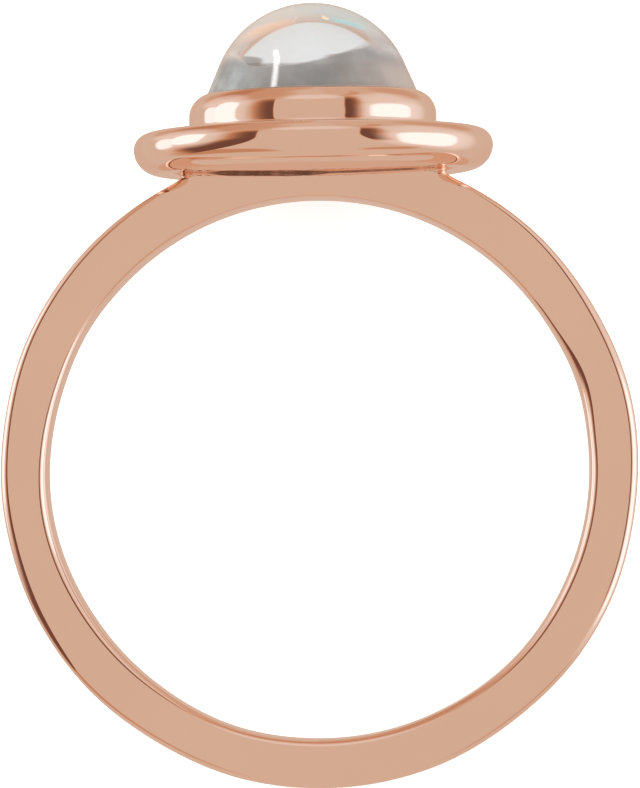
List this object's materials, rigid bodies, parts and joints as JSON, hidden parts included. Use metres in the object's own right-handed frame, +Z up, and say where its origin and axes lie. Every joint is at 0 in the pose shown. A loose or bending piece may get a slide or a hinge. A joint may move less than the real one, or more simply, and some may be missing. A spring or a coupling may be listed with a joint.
{
  "type": "cabochon ring",
  "caption": "Finger ring with a plain flat-sided band, a thick round rimmed plate across its top, and a smooth bezel holding a high round cabochon stone, lying on its side.",
  "frame": {"origin": "on the floor, at the middle of the lying ring's box seen from above", "axes": "+Z up from the floor, +Y along the floor from the back of the band towards the stone, +X across the band; the finger's axis leans back from +Z by the angle at which the ring rests"},
  "size_m": [0.0204, 0.025, 0.0113],
  "materials": {
    "rose_gold": null,
    "moonstone": "polished, clear and slightly milky, with a faint peach and blue-green sheen"
  },
  "bodies": {
    "root": {"mounting": "rose_gold", "cabochon": "moonstone"}
  },
  "joints": []
}
